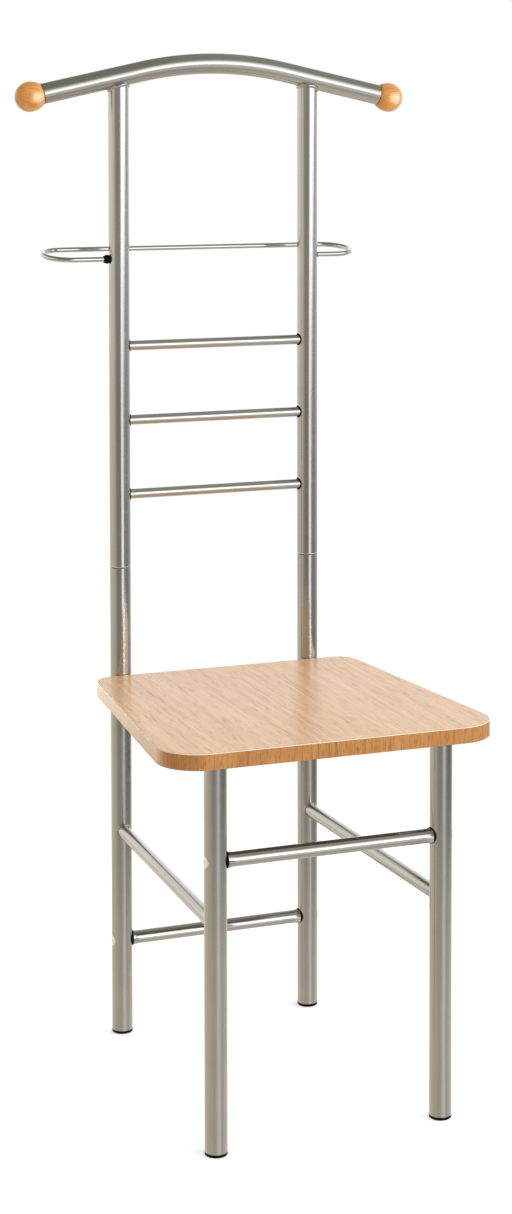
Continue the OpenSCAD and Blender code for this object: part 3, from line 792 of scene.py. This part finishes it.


# the plugs' lips, the posts' eased ends, and dark rings painted as shade in the gaps at the knobs and rungs
def makeLipsEdgesAndShadeRings():
    lips = [
        saddlePath("saddle_lips", legPoint(side, leg, chair[leg + "Z"]), Vector((-side, 0, 0)))
        for leg in ("front", "back") for side in (-1, 1)]
    addBead("saddle_lips", lips, "lower_frame", "plastic")
    edge = beads["post_end_edges"]
    edges = [
        ringPath(legPoint(side, "back", edge["z"]), Vector((1, 0, 0)), Vector((0, 1, 0)),
                 chair["tubeR"] - edge["inset"], 128)
        for side in (-1, 1)]
    addBead("post_end_edges", edges, "back_frame", "burnished")
    knobGapRings = []
    # dark rings in the gaps at the knobs: painted shade for those gaps
    for side in (-1, 1):
        along = armDirection(side)
        upward = Vector((along.z * -side, 0, along.x * side))
        centre = armStart(side) + along * (armLength() - knob["flat"] - knob["gap"] / 2)
        knobGapRings.append(ringPath(centre, Vector((0, 1, 0)), upward, beads["knob_washers"]["around"], 96))
    addBead("knob_washers", knobGapRings, "back_frame", "plastic")
    # dark rings round the rungs at the posts' holes: painted shade for the gaps there
    holes = [
        saddlePath("rung_seams", legPoint(side, "back", height), Vector((-side, 0, 0)))
        for side in (-1, 1) for height in chair["rungsZ"]]
    addBead("rung_seams", holes, "back_frame", "plastic")


makeWelds()
makeLipsEdgesAndShadeRings()
print("welds and seams made:", len(beads))


stretcherScrew = {
    "headR": 0.007, "head": 0.0007, "shankR": 0.003, "shank": 0.0414, "point": 0.0, "bevel": 0.0003,
    "slot": 0.0064, "slotWide": 0.0014, "slotDeep": 0.0006, "spin": {"front": 0.35, "back": 1.0},
}
seatScrew = {
    "headR": 0.004, "head": 0.0024, "shankR": 0.002, "shank": 0.015, "point": 0.003, "bevel": 0.0003,
    "slot": 0.0042, "slotWide": 0.0010, "slotDeep": 0.0014, "z": 0.421, "fromLeg": 0.040,
}


def crossCutter(size):  # the recess: two bars that narrow downwards
    top = (size["head"] + 0.001, size["slot"] * 1.1, size["slotWide"] * 1.1)
    bottom = (size["head"] - size["slotDeep"], size["slot"] * 0.5, size["slotWide"] * 0.75)
    work = bmesh.new()
    for turn in (0, math.pi / 2):
        corners = []
        for z, long, broad in (top, bottom):
            for sx, sy in ((-1, -1), (1, -1), (1, 1), (-1, 1)):
                p = Matrix.Rotation(turn, 3, "Z") @ Vector((sx * long / 2, sy * broad / 2, z))
                corners.append(work.verts.new(p))
        for face in ((0, 1, 2, 3), (7, 6, 5, 4), (0, 4, 5, 1), (1, 5, 6, 2), (2, 6, 7, 3), (3, 7, 4, 0)):
            work.faces.new([corners[i] for i in face])
    return bpy.data.objects.new("crossCutter", outwardMesh(work, "cross"))


def crossHead(size):  # a screw with its head up and the head's underside at 0
    radius, height, bevel = size["headR"], size["head"], size["bevel"]
    rim = height * 0.3
    turns = [math.pi / 2 * k / 12 for k in range(1, 13)]
    profile = [(0, height)]  # domed, or nearly flat when it is low
    profile += [(radius * math.sin(a), rim + (height - rim) * math.cos(a)) for a in turns]
    profile += [(radius, bevel), (radius - bevel, 0), (size["shankR"], 0)]
    profile += [(size["shankR"], size["point"] - size["shank"]), (0, -size["shank"])]
    body = bpy.data.objects.new("screwBody", lathe(profile, 64))
    cutter = crossCutter(size)
    for thing in (body, cutter):
        scene.collection.objects.link(thing)
    cut = body.modifiers.new("recess", "BOOLEAN")
    cut.object = cutter
    cut.operation = "DIFFERENCE"
    cut.solver = "EXACT"
    cut.use_self = True
    made = bpy.data.meshes.new_from_object(body.evaluated_get(bpy.context.evaluated_depsgraph_get()))
    bpy.data.objects.remove(cutter)
    body.modifiers.remove(cut)
    body.data = made
    return body


def dishHeads(mesh):  # bends the heads of the stretcher screws round their legs
    radius = chair["tubeR"]
    for vertex in mesh.vertices:
        leg = "front" if vertex.co.y < 0 else "back"
        legX = chair[leg + "LegX"]
        beyond = abs(vertex.co.x) - legX - radius
        if beyond > -stretcherScrew["slotDeep"]:
            sag = radius - math.sqrt(radius ** 2 - (vertex.co.y - chair[leg + "Y"]) ** 2)
            vertex.co.x = math.copysign(legX + radius + beyond - sag, vertex.co.x)


def putScrews(name, size, places, finish, replaced, dished=False):
    master = crossHead(size)
    points = bpy.data.meshes.new("points")
    points.from_pydata([place for place, facing in places], [], [])
    facings = points.attributes.new("facing", "FLOAT_VECTOR", "POINT")
    for item, (place, facing) in zip(facings.data, places):
        item.vector = facing
    made = runTree(screwGroup, points, {"Screw": master, "Material": finishes[finish]})
    bpy.data.objects.remove(master)
    if dished:
        dishHeads(made)
    newPiece(name, made, "lower_frame", [replaced], crease=30)


def makeScrews():
    outside = []
    under = []
    for side in (-1, 1):
        for leg, seatSpin in (("front", 0.5 * side), ("back", 0.9 + side)):
            at = Vector((side * (chair[leg + "LegX"] + chair["tubeR"]), chair[leg + "Y"], chair[leg + "Z"]))
            outside.append((at, (math.pi / 2, stretcherScrew["spin"][leg], side * math.pi / 2)))
            inwards = seatScrew["fromLeg"] if leg == "front" else -seatScrew["fromLeg"]
            at = Vector((side * chair[leg + "LegX"], chair[leg + "Y"] + inwards, seatScrew["z"]))
            under.append((at, (math.pi, 0, seatSpin)))
    putScrews(
        "stretcher_screw_set", stretcherScrew, outside, "platedScrew", "stretcher_screws",
        dished=True)
    putScrews("seat_screw_set", seatScrew, under, "zinc", "seat_screws")


makeScrews()
print("screws made")


# what the metal sees round the studio at three levels, by the angle from straight ahead of the chair
walls = [
    (-180, (1.0, 0.96, 0.88)), (-120, (1.0, 0.95, 0.82)), (-80, (0.88, 0.83, 0.70)),
    (-48, (0.33, 0.32, 0.27)), (0, (0.30, 0.30, 0.29)), (60, (0.34, 0.35, 0.36)), (80, (0.50, 0.51, 0.52)),
    (125, (0.92, 0.93, 0.94)), (150, (1, 1, 1)),
]
farFloor = [
    (-180, (0.97, 0.94, 0.87)), (-120, (0.82, 0.76, 0.62)), (-80, (0.64, 0.58, 0.46)),
    (-45, (0.32, 0.30, 0.25)), (10, (0.30, 0.30, 0.29)), (50, (0.15, 0.15, 0.14)), (85, (0.14, 0.14, 0.13)),
    (125, (0.75, 0.71, 0.66)), (150, (0.95, 0.92, 0.88)),
]
nearFloor = [
    (-180, (0.97, 0.94, 0.88)), (-110, (0.76, 0.69, 0.56)), (-40, (0.62, 0.58, 0.47)),
    (40, (0.64, 0.59, 0.50)), (100, (0.90, 0.82, 0.71)), (150, (1.0, 0.96, 0.90)),
]
# each pair says where something starts and is whole: heights as a sine, turns in degrees
room = {
    "wallShade": (-0.17, -0.03, 0.80, 1.18), "farFloor": (-0.19, -0.25), "nearFloor": (-0.27, -0.34),
    "dip": (0.27, 0.27, 0.24, 1), "dipShare": 0.55, "dipTop": (-0.38, -0.60), "dipFoot": (-0.95, -0.70),
    "cove": (0.56, 0.50, 0.38, 1), "coveLeft": (0.88, 0.80, 0.62, 1), "coveAcross": (0.42, 0.08),
    "coveTop": (-0.75, -0.95), "ceilingLeft": (0.20, 0.195, 0.135, 1), "ceilingRight": (0.34, 0.35, 0.31, 1),
    "ceilingAcross": (-0.15, 0.45), "ceilingFoot": (0.30, 0.70),
    "ambient": 0.80, "ambientLean": 0.62, "brightSide": math.radians(48),
}
softbox = {  # it leans, so its sides move with height
    "level": 1.16, "middle": 1.0, "foot": 0.45, "left": (-0.12, 0.02, -3, 10), "right": (-0.13, 0.03, 22, 69),
    "leftSoft": 8, "rightSoft": 9, "lowEdge": (-0.25, -0.205), "highEdge": (0.28, 0.70),
    "middleFrom": (-0.12, -0.04), "middleTo": (0.10, 0.40), "footTop": (-0.13, -0.17),
    "brightest": 4, "tint": (4, 4.04, 4.08, 1),
}
sheen = {  # the softbox again, mirrored by the floor
    "colour": (0.30, 0.31, 0.32, 1), "from": (-22, 6), "to": (14, 42), "top": (-0.20, -0.26),
    "foot": (-0.9, -0.5),
}


def roomColour(kit, x, height, turn):
    around = []
    for level in (walls, farFloor, nearFloor):
        stops = [((degrees + 180) / 360, colour + (1,)) for degrees, colour in level]
        around.append(kit.add("ShaderNodeValToRGB", {"stops": stops}, {"Fac": turn / 360 + 0.5}))
    paler = kit.spread(height, *room["wallShade"])  # the walls are paler higher up
    grey = kit.add("ShaderNodeCombineColor", {}, {0: paler, 1: paler, 2: paler})
    seen = kit.colour(1.0, around[0], grey, "MULTIPLY")
    seen = kit.colour(kit.spread(height, *room["farFloor"]), seen, around[1])
    seen = kit.colour(kit.spread(height, *room["nearFloor"]), seen, around[2])
    dip = kit.spread(height, *room["dipTop"]) * kit.spread(height, *room["dipFoot"])
    seen = kit.colour(dip * room["dipShare"], seen, room["dip"])
    cove = kit.colour(kit.spread(x, *room["coveAcross"]), room["cove"], room["coveLeft"])
    seen = kit.colour(kit.spread(height, *room["coveTop"]), seen, cove)
    ceiling = kit.colour(kit.spread(x, *room["ceilingAcross"]), room["ceilingLeft"], room["ceilingRight"])
    return kit.colour(kit.spread(height, *room["ceilingFoot"]), seen, ceiling)


def softboxColour(kit, height, turn):
    left = kit.spread(height, *softbox["left"])
    right = kit.spread(height, *softbox["right"])
    fromLeft = kit.spread(turn, left - softbox["leftSoft"], left + softbox["leftSoft"])
    toRight = kit.spread(turn, right - softbox["rightSoft"], right + softbox["rightSoft"])
    inside = fromLeft * (1 - toRight)
    shape = inside * kit.spread(height, *softbox["lowEdge"]) * (1 - kit.spread(height, *softbox["highEdge"]))
    middle = kit.spread(height, *softbox["middleFrom"]) * (1 - kit.spread(height, *softbox["middleTo"]))
    foot = kit.spread(height, *softbox["footTop"]) * softbox["foot"]
    level = shape * (softbox["level"] + middle * softbox["middle"] + foot)
    return kit.colour(level / softbox["brightest"], (0, 0, 0, 1), softbox["tint"])  # a factor stops at 1


def makeWorld():
    world = bpy.data.worlds.new("studio")
    scene.world = world
    world.use_nodes = True
    world.node_tree.nodes.clear()
    world.cycles.sampling_method = "NONE"
    kit = NodeKit(world.node_tree)
    ray = kit.add("ShaderNodeLightPath", out="Is Camera Ray")
    way = kit.add("ShaderNodeTexCoord", out="Generated")
    x = kit.add("ShaderNodeSeparateXYZ", {}, {"Vector": way})
    height = x.also("Z")
    turn = kit.maths("ARCTAN2", x, -x.also("Y")) * math.degrees(1)
    seen = kit.colour(1.0, roomColour(kit, x, height, turn), softboxColour(kit, height, turn), "ADD")
    glare = kit.spread(turn, *sheen["from"]) * (1 - kit.spread(turn, *sheen["to"]))
    glare = glare * kit.spread(height, *sheen["top"]) * kit.spread(height, *sheen["foot"])
    seen = kit.colour(glare, seen, kit.colour(1.0, seen, sheen["colour"], "ADD"))
    towards = x * math.sin(room["brightSide"]) - x.also("Y") * math.cos(room["brightSide"])
    ambient = kit.add("ShaderNodeCombineColor", {}, {
        name: room["ambient"] * (1 + room["ambientLean"] * towards) for name in ("Red", "Green", "Blue")})
    mirrored = kit.maths("MAXIMUM", ray.also("Is Glossy Ray"), ray.also("Is Transmission Ray"))
    colour = kit.colour(mirrored, ambient, seen)
    colour = kit.colour(ray, colour, (1, 1, 1, 1))
    background = kit.add("ShaderNodeBackground", {}, {"Color": colour, "Strength": 1.0})
    kit.add("ShaderNodeOutputWorld", {}, {"Surface": background})


ground = {
    "colour": tone(250, 250, 250), "speck": tone(236, 235, 232), "specks": 300, "radius": 1.7,
    "fade": (0.55, 1.5), "glow": 0.42, "below": 0.0003,
}


def makeFloor():  # it keeps the chair's shadow and fades out round it
    finish, kit = newFinish("studio_floor")
    place = kit.placed()
    grain = kit.noise(place, ground["specks"], 3, 0.6)
    base = kit.colour(grain * 0.04, ground["colour"], ground["speck"])
    radius = kit.add("ShaderNodeVectorMath", {"operation": "LENGTH"}, {0: place}, out="Value")
    ray = kit.add("ShaderNodeLightPath", out="Is Camera Ray")
    fade = kit.maths("MAXIMUM", kit.spread(radius, *ground["fade"]), ray.also("Is Glossy Ray"))
    lit = kit.add("ShaderNodeBsdfDiffuse", {}, {"Color": base})
    glow = kit.add("ShaderNodeEmission", {}, {"Strength": ray * ground["glow"]})
    cover = kit.add("ShaderNodeAddShader", {}, {0: lit, 1: glow})
    clear = kit.add("ShaderNodeBsdfTransparent")
    both = kit.add("ShaderNodeMixShader", {}, {0: fade, 1: cover, 2: clear})
    kit.add("ShaderNodeOutputMaterial", {}, {"Surface": both})
    work = bmesh.new()
    bmesh.ops.create_circle(work, cap_ends=True, radius=ground["radius"], segments=96)
    bmesh.ops.translate(work, verts=work.verts, vec=(0, 0, -ground["below"]))
    mesh = bpy.data.meshes.new("floor")
    work.to_mesh(mesh)
    work.free()
    mesh.materials.append(finish)
    floor = bpy.data.objects.new("studio_floor", mesh)
    scene.collection.objects.link(floor)


# the last three light nothing: each is only mirrored, by the gloss of the pieces that it names
lamps = {
    "key": {"at": (1.80, -1.35, 1.20), "aim": (0.0, 0.16, 1.0), "size": (1.20, 1.62), "radiance": 1.8},
    "overhead": {
        "at": (0.6, -0.1, 2.7), "aim": (0, 0, 0.4), "size": (2.2, 2.2), "radiance": 0.55,
        "colour": (1, 0.995, 0.985)},
    "sparkle": {
        "at": (1.41, -1.25, 0.85), "aim": (0.0, 0.16, 1.15), "size": (2.9, 2.2), "radiance": 6.5,
        "mirroredBy": ["wooden_knob_left", "wooden_knob_right"]},
    "backdrop": {
        "at": (-1.15, 1.95, 0.34), "aim": (-0.25, -0.1, 0.44), "size": (2.5, 0.66), "radiance": 11.0,
        "colour": (1, 0.96, 0.82), "mirroredBy": ["seat_edging"]},
    "glint": {
        "at": (0.62, -1.87, 0.80), "aim": (0.0, 0.0, 0.44), "size": (0.80, 0.50), "radiance": 4.6,
        "mirroredBy": ["seat_board"]},
}


def addLamp(name, at, aim, size, radiance, colour=(1, 1, 1), mirroredBy=()):
    lamp = bpy.data.lights.new(name, "AREA")
    lamp.shape = "RECTANGLE"
    lamp.size, lamp.size_y = size
    lamp.energy = radiance * math.pi * size[0] * size[1]
    lamp.color = colour
    thing = bpy.data.objects.new(name, lamp)
    thing.location = at
    thing.rotation_mode = "QUATERNION"
    thing.rotation_quaternion = (Vector(aim) - Vector(at)).to_track_quat("-Z", "Y")
    thing.visible_camera = False
    thing.visible_glossy = bool(mirroredBy)  # the world holds what the metal mirrors
    thing.visible_diffuse = not mirroredBy
    scene.collection.objects.link(thing)
    if mirroredBy:
        mirroring = bpy.data.collections.new(name)
        for piece in mirroredBy:
            mirroring.objects.link(bpy.data.objects[piece])
        thing.light_linking.receiver_collection = mirroring


lens = {
    "azimuth": -20.906, "elevation": 3.042, "roll": -0.085, "distance": 2.907193,
    "target": (0.054292, 0.161446, 0.960828), "lens": 70.200, "sensor": 36, "shift": (0, -0.30),
}


def makeCamera():
    a, e, r = (math.radians(lens[name]) for name in ("azimuth", "elevation", "roll"))
    back = Vector((math.sin(a) * math.cos(e), -math.cos(a) * math.cos(e), math.sin(e)))
    right = Vector((math.cos(a), math.sin(a), 0))
    up = back.cross(right)
    across = right * math.cos(r) + up * math.sin(r)
    upward = up * math.cos(r) - right * math.sin(r)
    turned = Matrix((across, upward, back)).transposed()
    camera = bpy.data.cameras.new("camera")
    camera.lens = lens["lens"]
    camera.sensor_width = lens["sensor"]
    camera.shift_x, camera.shift_y = lens["shift"]
    thing = bpy.data.objects.new("camera", camera)
    place = Matrix.Translation(Vector(lens["target"]) + back * lens["distance"])
    thing.matrix_world = place @ turned.to_4x4()
    scene.collection.objects.link(thing)
    bpy.context.scene.camera = thing


makeWorld()
makeFloor()
for lampName, lampValues in lamps.items():
    addLamp(lampName, **lampValues)
makeCamera()
bpy.context.scene.view_settings.view_transform = "Standard"
print("studio made:", len(lamps), "lamps")
